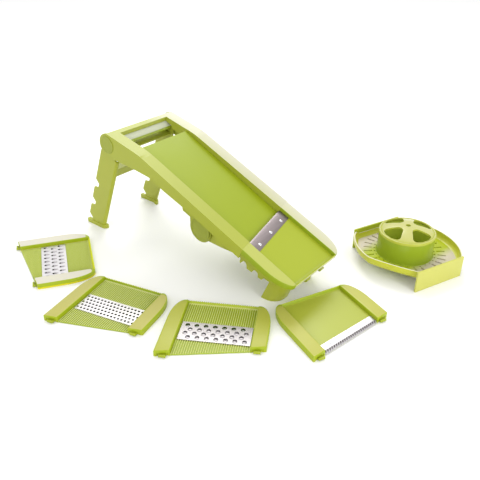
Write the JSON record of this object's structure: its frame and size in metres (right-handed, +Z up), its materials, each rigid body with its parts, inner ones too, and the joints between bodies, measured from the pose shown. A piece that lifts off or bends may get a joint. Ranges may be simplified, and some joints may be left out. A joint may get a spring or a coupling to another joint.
{
  "type": "mandoline slicer",
  "caption": "Folding kitchen mandoline with an inclined runway, slanted slicing blade, exchangeable grating inserts and a food holder with a grip drum.",
  "frame": {"origin": "middle of the whole set's footprint, on the table that the slicer, its loose inserts and its food holder stand on", "axes": "+X runs down the slicer from its handle end to its exit end, +Y towards the thickness dial's side, +Z up"},
  "size_m": [0.5725, 0.5096, 0.1778],
  "materials": {
    "deck_plastic": "lime green moulded plastic, satin gloss",
    "leg_plastic": "lime green moulded plastic, satin gloss",
    "insert_plastic": "lime green moulded plastic, satin gloss",
    "holder_plastic": "lime green moulded plastic, satin gloss",
    "blade_steel": "brushed stainless steel",
    "strip_steel": "bright pressed stainless steel"
  },
  "bodies": {
    "frame": {"main_frame": "deck_plastic", "insert_cradle": "deck_plastic"},
    "runway": {"runway_plate": "deck_plastic"},
    "dial": {"thickness_cam": "strip_steel", "thickness_dial": "deck_plastic"},
    "rear_legs": {"rear_leg_frame": "leg_plastic", "carry_bar": "leg_plastic", "rear_hub_cap_near": "leg_plastic", "rear_hub_cap_far": "leg_plastic"},
    "front_legs": {"front_leg_frame": "leg_plastic", "front_cross_bar": "leg_plastic", "front_hub_cap_near": "leg_plastic", "front_hub_cap_far": "leg_plastic"},
    "slicing_insert": {"slicing_insert_frame": "insert_plastic", "slicing_blade": "blade_steel", "blade_rivets": "blade_steel"},
    "shredder_insert": {"shredder_insert_frame": "insert_plastic", "shredder_strip": "strip_steel"},
    "fine_grater_insert": {"fine_grater_insert_frame": "insert_plastic", "fine_grater_strip": "strip_steel"},
    "coarse_grater_insert": {"coarse_grater_insert_frame": "insert_plastic", "coarse_grater_strip": "strip_steel"},
    "julienne_insert": {"julienne_insert_frame": "insert_plastic", "julienne_blade": "strip_steel", "julienne_rivets": "strip_steel"},
    "food_holder": {"holder_plate": "holder_plastic", "holder_drum": "holder_plastic", "holder_cap": "holder_plastic", "holder_prongs": "strip_steel"}
  },
  "joints": [
    {"name": "dial_turn", "type": "hinge", "parent": "frame", "child": "dial", "pos_m": [0.03765, 0.0142, 0.07837], "axis": [0, -1, 0], "range_deg": [0, 100]},
    {"name": "runway_tilt", "type": "hinge", "parent": "frame", "child": "runway", "pos_m": [-0.12713, 0.0142, 0.15593], "axis": [0, -1, 0], "range_deg": [0, 1.57]},
    {"name": "rear_legs_fold", "type": "hinge", "parent": "frame", "child": "rear_legs", "pos_m": [-0.18304, 0.0142, 0.16021], "axis": [0, -1, 0], "range_deg": [0, 82]},
    {"name": "front_legs_unfold", "type": "hinge", "parent": "frame", "child": "front_legs", "pos_m": [-0.0144, 0.0142, 0.06925], "axis": [0, 1, 0], "range_deg": [0, 84]},
    {"name": "slicing_insert_out", "type": "slide", "parent": "frame", "child": "slicing_insert", "axis": [1, 0, 0], "range_m": [0, 0.115]},
    {"name": "shredder_insert_lift", "type": "slide", "parent": "frame", "child": "shredder_insert", "axis": [0, 0, 1], "range_m": [0, 0.15]},
    {"name": "fine_grater_insert_lift", "type": "slide", "parent": "frame", "child": "fine_grater_insert", "axis": [0, 0, 1], "range_m": [0, 0.15]},
    {"name": "coarse_grater_insert_lift", "type": "slide", "parent": "frame", "child": "coarse_grater_insert", "axis": [0, 0, 1], "range_m": [0, 0.15]},
    {"name": "julienne_insert_out", "type": "slide", "parent": "frame", "child": "julienne_insert", "axis": [0.9219, -0.3875, 0], "range_m": [0, 0.1]},
    {"name": "food_holder_lift", "type": "slide", "parent": "frame", "child": "food_holder", "axis": [0, 0, 1], "range_m": [0, 0.15]}
  ],
  "couplings": [
    {"joint": "runway_tilt", "follows": "dial_turn", "ratio": 0.015692}
  ]
}
